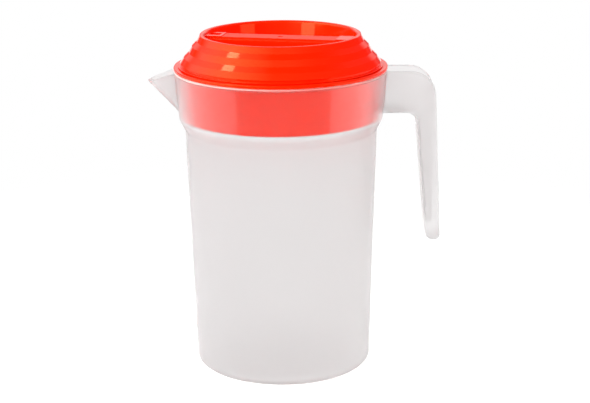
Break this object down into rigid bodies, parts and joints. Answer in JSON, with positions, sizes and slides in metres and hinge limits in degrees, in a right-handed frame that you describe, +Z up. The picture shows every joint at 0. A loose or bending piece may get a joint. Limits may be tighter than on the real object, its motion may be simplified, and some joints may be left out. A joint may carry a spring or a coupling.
{
  "type": "plastic pitcher with lid",
  "caption": "Tapered frosted plastic pitcher with a pouring beak, an open hook handle and a stepped orange-red lid that turns by a sunken grip bar and lifts off.",
  "frame": {"origin": "middle of the flat base, on the vessel's axis, at the resting plane", "axes": "+Z up along the vessel's axis, +X towards the handle, -X towards the beak, the front of the picture towards -Y"},
  "size_m": [0.2056, 0.1494, 0.238],
  "materials": {
    "frosted_plastic": "translucent natural polypropylene, finely frosted",
    "orange_plastic": "glossy opaque orange-red polypropylene"
  },
  "bodies": {
    "pitcher": {"pitcher_body": "frosted_plastic"},
    "lid_seat": {"lid_ring": "orange_plastic"},
    "lid": {"lid_cap": "orange_plastic"}
  },
  "joints": [
    {"name": "lid_lift", "type": "slide", "parent": "pitcher", "child": "lid_seat", "axis": [0, 0, 1], "range_m": [0, 0.08]},
    {"name": "lid_turn", "type": "hinge", "parent": "lid_seat", "child": "lid", "pos_m": [0, 0, 0.2145], "axis": [0, 0, 1], "continuous": true}
  ]
}
